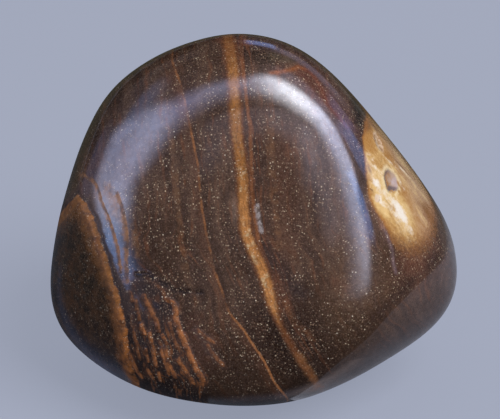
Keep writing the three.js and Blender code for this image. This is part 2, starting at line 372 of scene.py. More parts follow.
# Soft patches on the golden flat: middle (u, v), half sizes along and across, angle of its length from u,
# strength.
GOLD_LIGHT = [
    ((-0.7, -2.0), 2.4, 1.1, -62, 0.9),
    ((0.6, 0.9), 2.0, 1.0, 60, 0.35),
    ((0.6, -4.0), 2.2, 1.5, -66, 0.85),
    ((2.4, -1.6), 1.8, 0.7, -55, 0.5),
    ((-1.3, 0.2), 0.9, 0.3, -80, 0.6),
    ((-1.15, -3.2), 1.2, 0.5, -60, 1.0),
]
GOLD_CREAM = [
    ((0.6, -3.7), 1.2, 0.45, -57, 1.3),
    ((0.3, -3.9), 2.0, 0.9, -62, 0.58),
    ((-0.9, -0.4), 1.2, 0.5, -75, 0.45),
    ((-1.2, -1.5), 0.7, 0.36, -60, 0.9),
    ((-0.5, -2.45), 1.1, 0.5, -42, 0.65),
    ((1.3, -5.0), 1.1, 0.5, -60, 0.5),
    ((1.95, -1.8), 0.8, 0.22, -75, 0.6),
    ((-0.25, -1.4), 0.7, 0.16, -88, 0.7),
    ((0.55, 1.9), 0.9, 0.14, 80, 0.5),
    ((1.5, 0.1), 1.2, 0.14, -38, 0.6),
    ((3.2, -0.6), 2.0, 0.2, -38, 0.5),
    ((-1.25, -2.5), 0.2, 0.2, 0, 0.8),
    ((-1.15, -2.9), 0.7, 0.25, -60, 0.75),
]
GOLD_BROWN = [
    ((3.3, -0.23), 1.5, 0.13, -38, 0.8),
    ((1.6, 3.4), 2.4, 0.9, -40, 0.65),
    ((0.4, 3.2), 1.6, 0.7, 20, 0.9),
    ((4.8, -0.6), 1.2, 0.16, -40, 0.5),
    ((-1.8, -1.95), 0.3, 0.07, -50, 0.95),
    ((-1.5, -0.5), 0.5, 0.2, -80, 0.6),
    ((0.2, 0.1), 0.8, 0.15, 30, 0.35),
    ((-0.5, -3.0), 0.7, 0.08, -50, 0.5),
    ((4.8, -4.1), 2.4, 1.3, -35, 0.66),
]


def patches(listed, p):
    """The strongest of several soft patches: strength exp(-(along^2 + across^2)), in half sizes."""
    u, v = on_gold(p)
    total = np.zeros(len(p))
    for (at_u, at_v), length, breadth, turn, strength in listed:
        c, s = math.cos(math.radians(turn)), math.sin(math.radians(turn))
        along = ((u - at_u) * c + (v - at_v) * s) / length
        across = ((v - at_v) * c - (u - at_u) * s) / breadth
        total = np.maximum(total, strength * np.exp(-along ** 2 - across ** 2))
    return total


def colour(r, g, b):
    """A display colour from 0 to 255 as the linear colour that nodes take."""
    shares = np.array([r, g, b]) / 255.0
    linear = np.where(shares <= 0.04045, shares / 12.92, ((shares + 0.055) / 1.055) ** 2.4)
    return (*map(float, linear), 1.0)


# Soft tints on the stone, with painted light among them: painted shade low on the broad face and at the lower
# left rim, partly round the crack, and a painted highlight beside the gold. Display colour, strength, half
# width in mm and the points of the surface it runs along.
TINTS_AND_PAINTED_LIGHT = [
    ((56, 40, 34), 0.35, 1.6, [(-5.0, 11.6, 5.4), (0.0, 12.6, 4.8), (3.4, 12.3, 4.4)]),
    ((92, 60, 52), 0.4, 2.0, [(3.4, 11.1, 5.4), (5.6, 9.3, 5.6), (7.0, 6.3, 6.8)]),
    ((98, 56, 44), 0.6, 0.9, [(3.7, 10.5, 5.8), (4.4, 9.5, 6.4), (4.8, 8.8, 6.7)]),
    ((42, 31, 25), 0.85, 0.8, [(-0.4, 12.5, 4.7), (0.3, 11.6, 5.7), (1.1, 11.5, 5.8)]),
    ((76, 68, 54), 0.6, 0.55, [(1.5, 11.8, 5.4), (2.7, 11.5, 5.3)]),
    ((152, 88, 46), 0.8, 0.17, [(1.3, 10.5, 6.7), (2.0, 10.6, 6.5), (2.7, 10.7, 6.1), (3.3, 11.0, 5.6),
                                (3.7, 10.8, 5.5)]),
    ((116, 62, 42), 0.6, 0.2, [(3.7, 10.8, 5.5), (4.4, 10.3, 5.6), (5.0, 9.2, 6.2), (5.3, 8.2, 6.8),
                               (6.1, 7.3, 6.8), (6.7, 6.6, 6.8)]),
    ((24, 20, 15), 1.0, 0.7, [(7.5, 8.4, 3.4), (7.6, 7.6, 4.7), (7.7, 7.0, 5.4)]),
    ((114, 62, 40), 0.6, 0.65, [(-2.2, 13.2, 3.1), (-1.3, 12.8, 4.1), (-0.6, 12.8, 4.2)]),
    ((110, 62, 38), 0.4, 0.6, [(-1.6, 12.6, 4.6), (-1.4, 11.5, 5.6), (-1.2, 9.5, 7.2)]),
    ((104, 62, 42), 0.55, 0.6, [(-6.3, 10.9, 5.6), (-5.5, 9.6, 6.8), (-5.0, 8.2, 7.6)]),
    # painted shade: darker and browner towards the bottom of the broad face
    ((43, 28, 20), 0.65, 2.4, [(-6.4, -9.0, 8.4), (-2.0, -9.6, 8.9), (1.0, -9.2, 8.9), (3.6, -7.8, 8.9)]),
    ((31, 18, 8), 0.9, 3.3, [(-8.0, -10.8, 6.6), (-3.5, -12.0, 6.6), (0.0, -12.2, 6.4), (4.0, -12.0, 6.4)]),
    ((72, 51, 33), 0.65, 2.4, [(6.6, -6.6, 8.2), (9.5, -3.0, 8.0)]),
    ((54, 38, 27), 0.7, 1.9, [(4.4, -8.6, 8.1), (6.4, -8.8, 7.8), (7.8, -8.0, 7.9)]),
    ((90, 58, 48), 0.6, 1.6, [(11.0, -3.8, 6.6), (13.6, -2.2, 3.6)]),
    ((120, 72, 54), 0.4, 0.4, [(5.9, -4.4, 8.5), (6.5, -4.8, 8.4)]),
    ((42, 28, 21), 0.75, 1.3, [(0.6, -6.8, 8.9), (2.0, -9.2, 8.9), (3.0, -10.8, 8.6)]),
    ((46, 31, 25), 0.6, 1.1, [(3.6, -7.0, 8.9), (4.6, -9.2, 8.7), (5.8, -10.8, 7.8)]),
    ((146, 84, 42), 0.6, 0.5, [(4.2, -11.9, 6.4), (4.9, -12.2, 6.0)]),
    ((118, 72, 44), 0.5, 1.0, [(-13.4, 4.2, 4.0), (-12.2, 4.4, 5.4)]),
    # darker round the crack and over the ridges' tops: partly the stone's own colour, partly painted shade of
    # the crack
    ((34, 23, 19), 0.8, 1.2, [(-7.9, -4.8, 8.4), (-6.4, -6.0, 8.6), (-5.5, -7.4, 8.7)]),
    ((70, 57, 56), 0.6, 2.2, [(14.4, -4.6, 1.0), (11.0, -7.8, 3.6), (8.2, -10.4, 5.4)]),
    ((50, 34, 29), 0.75, 0.55, [(13.9, -2.4, 2.6), (13.0, -3.2, 4.2), (11.6, -4.3, 6.1), (10.1, -5.6, 7.4),
                                (8.6, -7.1, 8.1)]),
    ((50, 34, 26), 0.5, 0.5, [(8.6, -7.1, 8.1), (6.9, -8.8, 8.3), (4.8, -10.5, 8.4)]),
    ((54, 38, 33), 0.25, 0.5, [(9.5, -1.8, 7.7), (9.6, -2.6, 7.7), (9.8, -3.8, 7.6)]),
    ((124, 84, 58), 0.5, 0.5, [(9.3, 3.2, 7.0), (9.6, 1.6, 7.0), (10.2, 0.2, 6.9), (10.8, -0.9, 6.8)]),
    ((112, 72, 54), 0.5, 1.0, [(11.0, -2.6, 6.3), (11.8, -3.4, 5.4)]),
    # painted highlight: a pale mauve strip along the face's edge beside the gold, in two tints
    ((112, 82, 74), 0.55, 0.35, [(8.4, 1.3, 7.8), (8.7, 0.6, 7.7), (9.2, -0.5, 7.5), (9.7, -1.4, 7.4)]),
    ((138, 118, 126), 0.55, 0.13, [(9.2, -0.5, 7.5), (9.5, -1.0, 7.4), (9.7, -1.4, 7.4), (9.9, -2.1, 7.3),
                                   (10.0, -3.0, 7.4), (10.2, -3.8, 7.3)]),
    ((40, 29, 26), 0.7, 0.16, [(-8.5, -2.4, 8.2), (-8.35, -3.2, 8.2), (-8.3, -3.9, 8.2)]),
    ((236, 236, 232), 1.0, 0.09, [(-6.05, -9.5, 8.5), (-6.0, -9.5, 8.5)]),
    ((96, 62, 46), 0.4, 1.2, [(2.0, 6.0, 8.5), (2.4, 1.0, 8.6), (2.2, -2.5, 8.6)]),
    ((48, 39, 40), 0.7, 0.6, [(0.9, -2.2, 8.8), (1.7, -3.3, 8.8), (2.5, -4.2, 8.8), (3.3, -5.2, 8.8)]),
    ((104, 62, 44), 0.6, 0.35, [(1.6, -4.0, 8.8), (2.0, -5.2, 8.8), (2.4, -6.4, 8.8)]),
    ((150, 98, 62), 0.75, 0.12, [(2.2, -5.8, 8.8), (2.7, -6.9, 8.8), (3.0, -7.5, 8.8), (3.4, -7.7, 8.8),
                                 (3.8, -8.0, 8.8), (4.3, -8.6, 8.7)]),
    ((150, 95, 56), 0.7, 0.17, [(-0.05, 1.6, 8.7), (0.07, 0.3, 8.7), (0.22, -0.7, 8.8), (0.3, -1.3, 8.8)]),
    ((100, 74, 58), 0.5, 2.0, [(6.6, -2.0, 8.7), (7.0, -5.0, 8.7)]),
    ((32, 22, 17), 0.9, 1.3, [(2.5, -8.2, 8.8), (3.3, -9.6, 8.7), (4.0, -10.6, 8.4)]),
    ((98, 68, 58), 0.4, 1.0, [(-4.3, -7.6, 8.8), (-3.6, -9.6, 8.6)]),
    ((152, 128, 114), 0.55, 0.5, [(-1.0, 1.2, 8.7), (-0.9, 0.3, 8.7)]),
    ((70, 43, 27), 0.4, 0.5, [(2.2, -7.6, 8.8), (3.4, -9.8, 8.7)]),
    ((168, 122, 92), 0.5, 0.4, [(9.0, 0.8, 7.5), (9.3, -0.4, 7.4)]),
    # painted shade: dark along the lower left rim, where it nears the floor
    ((18, 14, 16), 0.85, 1.0, [(-14.4, -5.6, 1.6), (-13.8, -7.3, 2.0), (-12.8, -8.7, 2.5), (-11.5, -9.8, 3.3),
                               (-9.9, -10.6, 4.5)]),
]


def from_path(path, p):
    """Least distance in mm from a path of straight pieces in space."""
    best = np.full(len(p), np.inf)
    for start, end in zip(np.array(path[:-1], float), np.array(path[1:], float)):
        step = end - start
        share = np.clip((p - start) @ step / (step @ step), 0.0, 1.0)
        best = np.minimum(best, np.linalg.norm(p - start - share[:, None] * step, axis=1))
    return best


def tint_and_painted_light_layers(p):
    """The tints and painted light, laid one over another in order, each by strength exp(-(distance / half
    width)^2).
    """
    result = np.zeros((len(p), 4))
    for shown, strength, half_width, path in TINTS_AND_PAINTED_LIGHT:
        share = strength * np.exp(-(from_path(path, p) / half_width) ** 2)
        result = result * (1.0 - share)[:, None] + share[:, None] * np.array(colour(*shown))
    return result


def add_colours(mesh, name, colours):
    """Stores one colour per vertex, with its fourth channel."""
    stored = mesh.attributes.new(name, "FLOAT_COLOR", "POINT")
    stored.data.foreach_set("color", colours.astype(np.float32).ravel())


def ledge_distance(p):
    """How far a point lies inside the ledge's layer, in mm, with the small teeth of its broken edge.

    It is the lesser of the distance to the left of the edge and the distance below the straight upper end.
    """
    from_edge = -across_line(LEDGE_EDGE, p, lean=0.0) + LEDGE_TEETH * waves(p[:, 1], (2.9, 1.3, 0.75), 3)
    along = np.array(LEDGE_END) - np.array(LEDGE_TIP)
    inwards = np.array((-along[1], along[0])) / np.hypot(*along)
    from_end = (p[:, :2] - np.array(LEDGE_TIP)) @ inwards
    return np.minimum(from_edge, from_end)


def layered_share(p):
    """How much a point belongs to the many thin layers between the ledge and the first ridge, from 0 to 1."""
    share = smoothstep(-5.4, -7.2, p[:, 1]) * smoothstep(0.5, -0.1, across_line(FIRST_RIDGE, p))
    return share * smoothstep(0.0, -0.3, ledge_distance(p)) * smoothstep(0.0, 2.0, p[:, 2])


def relief(p, directions):
    """How far the surface stands above the worn form, in mm.

    The ledge is a step that falls back as exp(-distance / fade). Each ridge is rise exp(-d^2), with d the
    distance in half widths, and is uneven along its length. Each crack is sunk by depth exp(-d^2), and each
    pit is a bowl, depth (1 - d^2)^1.5 inside its rim. The whole is waved very slightly.
    """
    tilt = np.degrees(np.arccos(np.clip(directions[:, 2], -1.0, 1.0)))
    from_edge = ledge_distance(p)
    height = LEDGE_RISE * smoothstep(-0.03, 0.22, from_edge) * smoothstep(*LEDGE_FRONT, tilt)
    height *= np.exp(-np.maximum(from_edge, 0.0) / LEDGE_FADE)
    ridged = np.zeros(len(p))
    for points, half_width, rise, _ in RIDGES:
        uneven = 1.0 + 0.4 * waves(p[:, 1], (1.7, 0.9, 0.5), int(1000 * rise) + len(points))
        ridged = np.maximum(ridged, rise * uneven * np.exp(-from_line(points, half_width, p) ** 2))
    height += ridged
    for points, half_width in CRACKS:
        height -= CRACK_DEPTH * np.exp(-from_crack(points, half_width, p) ** 2)
    for pit in PITS:
        height -= pit[-1] * np.clip(1.0 - pit_distance(pit, p) ** 2, 0.0, 1.0) ** 1.5
    height += UNEVENNESS * waves(p[:, 0] + 0.4 * p[:, 1], (9.0, 5.3), 21)
    height += UNEVENNESS * waves(p[:, 1] - 0.3 * p[:, 2], (8.0, 4.7), 22)
    return height


def leaned(x, y, z):
    """From the face frame to the row frame: (x, y sin lean - z cos lean, y cos lean + z sin lean)."""
    s, c = math.sin(math.radians(LEAN)), math.cos(math.radians(LEAN))
    return x, y * s - z * c, y * c + z * s


def stand_up(p):
    """From the face frame in mm to the row frame in m: leans the points and settles them in the solid's box.

    The box's middle in x and y and its top in z are then the solid's, and a width or depth that the relief
    takes past the solid's is drawn in to it. What would reach under the floor is worn flat, at z = 0. Gives
    the points and the move that brought them there.
    """
    turned = np.stack(leaned(*p.T), axis=1) * MM
    low, high = turned.min(axis=0), turned.max(axis=0)
    fit = np.minimum((np.array(cad_high) - np.array(cad_low)) / (high - low), 1.0)
    fit[2] = 1.0
    move = (np.array(cad_low) + np.array(cad_high)) / 2 - fit * (low + high) / 2
    move[2] = cad_high.z - high[2]
    placed = fit * turned + move
    placed[:, 2] = np.maximum(placed[:, 2], 0.0)
    return placed, move


def add_object(name, data):
    """Puts a new object with this data into the scene."""
    added = bpy.data.objects.new(name, data)
    bpy.context.scene.collection.objects.link(added)
    return added


def dull_share(form, ledge, layered, ridge):
    """How dull the polish is, from 0 to 1.

    It is dull on the thin layers, by the ridges, along the ledge's broken edge and round DULL_PATH. At d mm
    inside the ledge it is exp(-((d - 0.12) / 0.5)^4), and round the path exp(-(distance / half width)^2).
    """
    by_edge = np.exp(-((ledge - 0.12) / 0.5) ** 4)
    by_path = np.exp(-(from_path(DULL_PATH, form) / DULL_HALF_WIDTH) ** 2)
    return np.maximum.reduce([layered, smoothstep(3.0, 1.0, ridge), by_edge, by_path])


def stone_layers(form):
    """What the material reads at each point of the worn form, by name: places, distances and shares."""
    u, v = on_gold(form)
    ledge, layered = ledge_distance(form), layered_share(form)
    ridge, ridge_strength = nearest(RIDGES, form)
    streak, streak_strength = nearest(STREAKS, form)
    return {
        "face_y": form[:, 1],
        "lower_right": form @ np.array(LOWER_RIGHT),
        "main_seam": across_line(MAIN_SEAM, form),
        "faint_seam": across_line(FAINT_SEAM, form),
        "thin_seam": across_line(THIN_SEAM, form),
        "chip_glint": from_line(CHIP_GLINT, CHIP_GLINT_HALF_WIDTH, form),
        "ledge": np.where(form[:, 2] > 0, ledge, -1.0),
        "ridge": ridge,
        "ridge_strength": ridge_strength,
        "streak": streak,
        "streak_strength": streak_strength,
        "crack": np.min([from_crack(points, half_width, form) for points, half_width in CRACKS], axis=0),
        "layered": layered,
        "layer_across": across_line(FIRST_RIDGE, form),
        "dull": dull_share(form, ledge, layered, ridge),
        "gold": gold_edge(form),
        "gold_u": u,
        "gold_v": v,
        "light": patches(GOLD_LIGHT, form),
        "cream": patches(GOLD_CREAM, form),
        "vein": patches(GOLD_BROWN, form),
        "pit": pit_distance(PITS[0], form),
        "small_pit": np.min([pit_distance(pit, form) for pit in PITS[1:]], axis=0),
    }


def build_stone():
    """The stone's mesh: the worn form plus the relief along each direction, and the material's layers."""
    directions, quads = cube_grid(CELLS)
    directions = gathered(directions)
    form = worn_form(directions)
    placed, move = stand_up(form + directions * relief(form, directions)[:, None])

    mesh = bpy.data.meshes.new(NODE + "_polished")
    mesh.from_pydata(placed.tolist(), [], quads.tolist())
    mesh.polygons.foreach_set("use_smooth", np.ones(len(quads), bool))
    for name, values in stone_layers(form).items():
        mesh.attributes.new(name, "FLOAT", "POINT").data.foreach_set("value", np.asarray(values, np.float32))
    # the tints, with painted shade and a painted highlight among them
    add_colours(mesh, "tint", tint_and_painted_light_layers(form))
    mesh.update()
    mesh.validate()
    return add_object(mesh.name, mesh), Vector(move)


# ---- material ----


class Shader:
    """Short calls for building one material's nodes. A value is a number or another node's output."""

    def __init__(self, name):
        self.material = bpy.data.materials.new(name)
        self.material.use_nodes = True
        self.tree = self.material.node_tree
        self.tree.nodes.clear()

    def add(self, kind, inputs=None, output=0, **settings):
        """Adds a node, sets it, feeds its inputs and gives one of its outputs."""
        node = self.tree.nodes.new(kind)
        for key, value in settings.items():
            setattr(node, key, value)
        for key, value in (inputs or {}).items():
            if isinstance(value, bpy.types.NodeSocket):
                self.tree.links.new(value, node.inputs[key])
            else:
                node.inputs[key].default_value = value
        return node.outputs[output]

    def show(self, surface):
        """Sends a shader to the material's output."""
        self.tree.links.new(surface, self.tree.nodes.new("ShaderNodeOutputMaterial").inputs["Surface"])


class StoneShader(Shader):
    """The same with sums, steps and noise on the stone's own places."""

    def __init__(self, name):
        super().__init__(name)
        self.place = self.add("ShaderNodeTexCoord", output="Object")
        self.rough_edge = self.scaled(self.noise(3200.0, 4.0, 0.65), 0.36, -0.18)

    def layer(self, name):
        """A layer that stone_layers() stored."""
        return self.add("ShaderNodeAttribute", output="Fac", attribute_name=name)

    def ragged(self, name, amount):
        """A stored layer with a rough edge."""
        return self.scaled(self.rough_edge, amount, self.layer(name))

    def math(self, operation, *values):
        return self.add("ShaderNodeMath", dict(enumerate(values)), operation=operation)

    def times(self, first, *others):
        """All the values multiplied together."""
        for other in others:
            first = self.math("MULTIPLY", first, other)
        return first

    def plus(self, a, b):
        return self.math("ADD", a, b)

    def scaled(self, a, factor, added):
        """a times factor, plus added."""
        return self.math("MULTIPLY_ADD", a, factor, added)

    def step(self, value, low, high, to_low=0.0, to_high=1.0):
        """A smooth change from to_low at low to to_high at high."""
        inputs = {"Value": value, "From Min": low, "From Max": high, "To Min": to_low, "To Max": to_high}
        return self.add("ShaderNodeMapRange", inputs, interpolation_type="SMOOTHSTEP")

    def band(self, value, start, full, full_end, end):
        """1 from full to full_end, and a smooth change to 0 at start and end."""
        return self.times(self.step(value, start, full), self.step(value, end, full_end))

    def noise(self, scale, detail=2.0, roughness=0.5, at=None, output="Fac"):
        inputs = {"Vector": at or self.place, "Scale": scale, "Detail": detail, "Roughness": roughness}
        return self.add("ShaderNodeTexNoise", inputs, output=output)

    def drawn_out(self, across, along, share, scale, detail, roughness=0.5, third=0.0):
        """Noise over two lengths in mm, drawn out because the one along counts only this share."""
        at = self.add("ShaderNodeCombineXYZ", {"X": across, "Y": self.times(along, share), "Z": third})
        return self.noise(scale, detail, roughness, at)

    def mix(self, factor, a, b):
        """Colour a, changing to b as factor goes to 1. Each is an output or a display colour (r, g, b)."""
        a, b = (colour(*value) if isinstance(value, tuple) else value for value in (a, b))
        return self.add("ShaderNodeMix", {0: factor, 6: a, 7: b}, output=2, data_type="RGBA")

    def lay(self, body, shown, *shares):
        """Lays a colour over the body, as strongly as the product of the shares."""
        return self.mix(self.times(*shares), body, shown)


# Grains of sand: size of their cells in mm, shift of the layer in m, the share of cells without a grain,
# size in cells, strength and colour.
GRAINS = [
    (0.12, 0.0, 0.4, 0.6, 0.5, (136, 108, 90)),
    (0.15, 0.01, 0.6, 0.44, 0.7, (166, 138, 114)),
    (0.13, 0.05, 0.82, 0.45, 0.9, (214, 194, 168)),
    (0.2, 0.02, 0.8, 0.34, 0.9, (222, 200, 172)),
    (0.3, 0.03, 0.8, 0.2, 1.0, (252, 240, 220)),
]
GRAIN_UNEVEN = 0.00004   # how much noise moves the grains' places, so that none is round
AMBER = (117, 70, 36)    # the ridges, the thin layers and the darker places on the ledge's edge


def add_grains(s, body, keep):
    """Grains of sand: many fine dull ones, fewer bright ones and a few very bright ones, in loose crowds."""
    moved = {0: GRAIN_UNEVEN, 4: s.place, 5: s.noise(9000.0, 1.0, output="Color")}
    shaken = s.add("ShaderNodeMix", moved, output=1, data_type="VECTOR")
    crowd = s.step(s.noise(600.0, 3.0), 0.34, 0.64, 0.22, 0.95)
    for size, shift, rare, reach, strength, shown in GRAINS:
        shifted = s.add("ShaderNodeVectorMath", {0: shaken, 1: (shift, 0.0, 0.0)}, operation="ADD")
        cell = s.add("ShaderNodeTexVoronoi", {"Vector": shifted, "Scale": 1.0 / (size * MM)})
        chance = s.add("ShaderNodeSeparateColor", {0: cell.node.outputs["Color"]}, output=1)
        grain = s.times(s.step(chance, rare, 1.0), s.step(cell, reach, reach * 0.4))
        body = s.lay(body, shown, grain, strength, crowd, keep)
    return body


def add_seams(s, body):
    """The opal seams, the dark and red layers beside them, and a painted glint on a small chip."""
    main, y = s.layer("main_seam"), s.layer("face_y")

    # To the right of the main seam: dark, with thin red layers.
    beside = s.times(s.band(main, 0.1, 0.5, 1.0, 2.0), s.step(y, -6.0, -1.0, 0.5, 1.0))
    body = s.lay(body, (64, 46, 40), beside, 0.4)
    red = s.step(s.drawn_out(main, y, 0.1, 4.2, 3.0, 0.6), 0.5, 0.62)
    body = s.lay(body, (112, 68, 44), beside, red, 0.7)

    # The main seam: caramel, softer and redder at its edges, with paler clots in the middle of its length.
    width = s.plus(s.step(y, -7.8, -5.2, 0.15, 0.42), s.step(y, -9.0, -11.0, 0.0, 0.03))
    width = s.times(width, s.step(y, -12.6, -10.6, 0.2, 1.0))
    edge = s.math("SUBTRACT", width, s.math("ABSOLUTE", s.plus(main, s.rough_edge)))
    body = s.lay(body, (104, 64, 40), s.step(edge, -0.25, 0.05, 0.0, 0.85))
    caramel = s.mix(s.step(y, 4.5, 0.0), (153, 101, 52), (184, 125, 71))
    caramel = s.lay(caramel, (132, 84, 48), s.step(y, 10.6, 12.2))
    caramel = s.lay(caramel, (99, 56, 28), s.step(y, -5.8, -8.6))
    body = s.lay(body, caramel, s.step(edge, -0.05, 0.26))
    core = s.step(s.drawn_out(main, y, 0.2, 6.0, 3.0), 0.46, 0.66, 0.0, 0.6)
    body = s.lay(body, (118, 74, 40), s.step(edge, 0.0, 0.2), core)
    clots = s.times(s.step(s.noise(1500.0, 3.0, 0.6), 0.5, 0.66), s.step(edge, 0.04, 0.2))
    body = s.lay(body, (198, 168, 128), clots, s.step(y, 5.5, 2.0, 0.15, 1.0), s.step(y, -6.8, -4.6))

    faint = s.step(s.math("ABSOLUTE", s.ragged("faint_seam", 0.6)), 0.2, 0.02)
    body = s.lay(body, (136, 84, 50), faint, s.step(y, -3.2, -1.0, 0.0, 0.7), s.step(y, 12.4, 9.4, 0.3, 1.0))

    # The thin seam: a fine broken line, redder ironstone on its left and darker on its right.
    thin = s.ragged("thin_seam", 0.5)
    body = s.lay(body, (104, 68, 50), s.band(thin, -1.0, -0.05, -0.05, 0.02), 0.3)
    body = s.lay(body, (50, 36, 31), s.band(thin, 0.0, 0.1, 0.2, 0.6), 0.4)
    broken = s.step(s.noise(1000.0, 4.0, 0.6), 0.38, 0.62, 0.05, 0.75)
    broken = s.math("MAXIMUM", broken, s.step(y, -5.6, -7.4, 0.0, 0.85))
    body = s.lay(body, (150, 97, 58), s.step(s.math("ABSOLUTE", thin), 0.12, 0.03), broken)

    # painted glint on the small chip beside the main seam: pale, in uneven patches
    uneven = s.step(s.noise(2600.0, 3.0, 0.6), 0.42, 0.56, 0.25, 0.9)
    return s.lay(body, (156, 146, 146), s.step(s.ragged("chip_glint", 6.0), 2.2, 0.4), uneven)


def add_ledge(s, body, tinted):
    """The ledge: caramel at its broken edge, olive brown to the left of it and painted shade, a dark line, at
    its foot.

    The olive brown stays out of places that are tinted.
    """
    y, uneven, edge = s.layer("face_y"), s.noise(1300.0, 3.0, 0.6), s.ragged("ledge", 0.8)
    on_ledge = s.step(edge, -0.03, 0.05)
    olive = s.mix(s.step(y, -4.0, -9.0), (52, 40, 26), (46, 28, 12))
    olive = s.lay(olive, (72, 49, 28), s.step(uneven, 0.4, 0.62))
    olive = s.lay(olive, (84, 54, 28), s.step(s.noise(520.0, 3.0, 0.6), 0.46, 0.64, 0.0, 0.7))
    body = s.lay(body, olive, on_ledge, s.step(tinted, 0.0, 1.0, 0.9, 0.0))
    inner = s.math("DIVIDE", s.ragged("ledge", 1.6), s.step(y, -6.0, 1.0, 0.66, 1.0))
    caramel = s.mix(s.step(y, -4.5, -7.5), (148, 95, 45), (172, 106, 51))
    caramel = s.mix(s.step(uneven, 0.32, 0.56), AMBER, caramel)
    body = s.lay(body, caramel, on_ledge, s.step(inner, 1.7, 0.15, 0.0, 0.9),
                 s.step(s.noise(800.0, 4.0, 0.65), 0.36, 0.56, 0.5, 1.0))
    # painted shade: a dark line at the foot of the ledge's step
    return s.lay(body, (42, 31, 27), s.band(edge, -0.4, -0.1, -0.05, 0.02), 0.55)


def add_ridges(s, body, streaks):
    """The thin layers and the ridges, with partly painted light on and beside them, the loose streaks and the
    cracks.

    Gives the colour and how much of it is loose streak.
    """
    layered, strength, uneven = s.layer("layered"), s.layer("ridge_strength"), s.noise(1300.0, 3.0, 0.6)
    body = s.lay(body, (45, 31, 25), layered, s.step(streaks, 0.52, 0.42, 0.0, 0.85))
    low = s.step(s.layer("face_y"), -6.0, -9.0, 0.45, 1.0)
    body = s.lay(body, AMBER, layered, low, s.step(streaks, 0.52, 0.62, 0.0, 0.85))
    ridge = s.ragged("ridge", 1.8)
    # darker beside the ridges: partly the dark ironstone between the layers, partly painted shade
    beside = s.mix(s.step(uneven, 0.42, 0.6), (48, 32, 24), AMBER)
    body = s.lay(body, beside, s.step(ridge, 4.0, 1.0, 0.0, 0.35), strength)
    # the ridges' caramel crests: partly their own colour, partly painted highlight
    crest = s.mix(s.step(uneven, 0.4, 0.62), AMBER, (158, 97, 51))
    body = s.lay(body, crest, s.step(ridge, 1.3, 0.5), strength, s.step(uneven, 0.34, 0.5, 0.5, 1.0))
    on_streak = s.times(s.step(s.ragged("streak", 5.0), 1.4, 0.2), s.layer("streak_strength"))
    body = s.lay(body, (152, 104, 62), on_streak, s.step(uneven, 0.36, 0.58, 0.15, 1.0))
    cracked = s.step(s.ragged("crack", 0.8), 1.8, 0.4)
    return s.lay(body, (34, 25, 23), cracked, s.step(uneven, 0.32, 0.52, 0.4, 0.85)), on_streak


def add_gold(s, body):
    """The golden patch: gold with cream and brown patches and fine slanting grain, and its pits.

    Gives the colour and how much of it is gold.
    """
    u, v = s.layer("gold_u"), s.layer("gold_v")
    off_middle = s.plus(u, -1.5)
    bowed = s.times(off_middle, off_middle, 0.14)
    low = s.plus(s.math("SUBTRACT", v, bowed), s.scaled(s.noise(3600.0, 4.0, 0.7), 2.4, -1.2))
    in_gold = s.times(s.step(s.ragged("gold", 1.0), -0.1, 0.22), s.step(low, -7.6, -5.4))
    across = s.scaled(u, 0.77, s.times(v, 0.64))
    along = s.scaled(u, 0.64, s.times(v, -0.77))
    grain = s.drawn_out(across, along, 0.4, 1.3, 5.0, 0.65, third=s.noise(400.0))
    ragged = s.scaled(s.noise(2200.0, 5.0, 0.7), 1.7, -0.85)
    light = s.scaled(ragged, 0.7, s.layer("light"))
    gold = s.mix(s.step(light, 0.05, 0.75), (187, 136, 74), (233, 195, 133))
    gold = s.lay(gold, (194, 160, 130), s.step(s.plus(u, ragged), 0.9, 3.8, 0.0, 0.8))
    gold = s.lay(gold, (172, 118, 60), s.step(grain, 0.5, 0.68, 0.0, 0.55))
    gold = s.lay(gold, (246, 212, 152), s.step(grain, 0.5, 0.34, 0.0, 0.5))
    gold = s.lay(gold, (132, 88, 52), s.step(s.scaled(grain, 0.5, s.layer("vein")), 0.42, 0.95, 0.0, 0.85))
    pale = s.plus(s.scaled(grain, -0.5, s.layer("cream")), ragged)
    gold = s.lay(gold, (252, 240, 226), s.step(pale, -0.05, 0.75))
    gold = s.lay(gold, (152, 100, 58), s.step(low, -4.7, -6.7, 0.0, 0.85))
    gold = s.lay(gold, (146, 100, 56), s.step(v, 2.6, 4.4, 0.0, 0.8))
    gold = s.lay(gold, (168, 108, 54), s.step(s.ragged("gold", 1.5), 0.34, 0.08, 0.0, 0.75))

    # The large pit is filled with grey brown, dark at its upper left and its foot; the small ones are paler.
    pit, blotch = s.ragged("pit", 1.0), s.noise(1800.0, 3.0, 0.6)
    filling = s.mix(s.step(s.scaled(u, 0.35, blotch), 0.5, 0.85), (176, 124, 70), (184, 156, 138))
    slanted = s.scaled(v, 0.8, s.times(u, -1.0))
    upper_left = s.times(s.step(slanted, -2.0, -0.9), s.step(pit, 0.5, 0.8), 0.8)
    foot = s.times(s.step(s.scaled(u, 0.3, v), -1.45, -1.75), s.step(blotch, 0.42, 0.52))
    filling = s.lay(filling, (108, 90, 92), s.math("MAXIMUM", upper_left, foot))
    gold = s.lay(gold, (246, 222, 178), s.step(pit, 1.5, 1.12, 0.0, 0.8), s.step(blotch, 0.38, 0.52))
    gold = s.lay(gold, filling, s.step(pit, 1.12, 0.8, 0.0, 0.95))
    filling = s.mix(s.step(blotch, 0.42, 0.56), (172, 132, 98), (232, 206, 182))
    gold = s.lay(gold, filling, s.step(s.ragged("small_pit", 1.6), 1.2, 0.8, 0.0, 0.7))
    return s.lay(body, gold, in_gold), in_gold


def add_tints_and_painted_light(s, body, layers):
    """Tints and painted light, a little weaker where the layers are low. Gives the colour and their share."""
    tint = s.add("ShaderNodeAttribute", output="Color", attribute_name="tint")
    share = tint.node.outputs["Alpha"]
    whole = s.math("DIVIDE", 1.0, s.math("MAXIMUM", share, 0.01))
    unmixed = s.add("ShaderNodeVectorMath", {0: tint, 3: whole}, operation="SCALE")
    return s.lay(body, unmixed, share, s.step(layers, 0.3, 0.6, 0.75, 1.0)), share


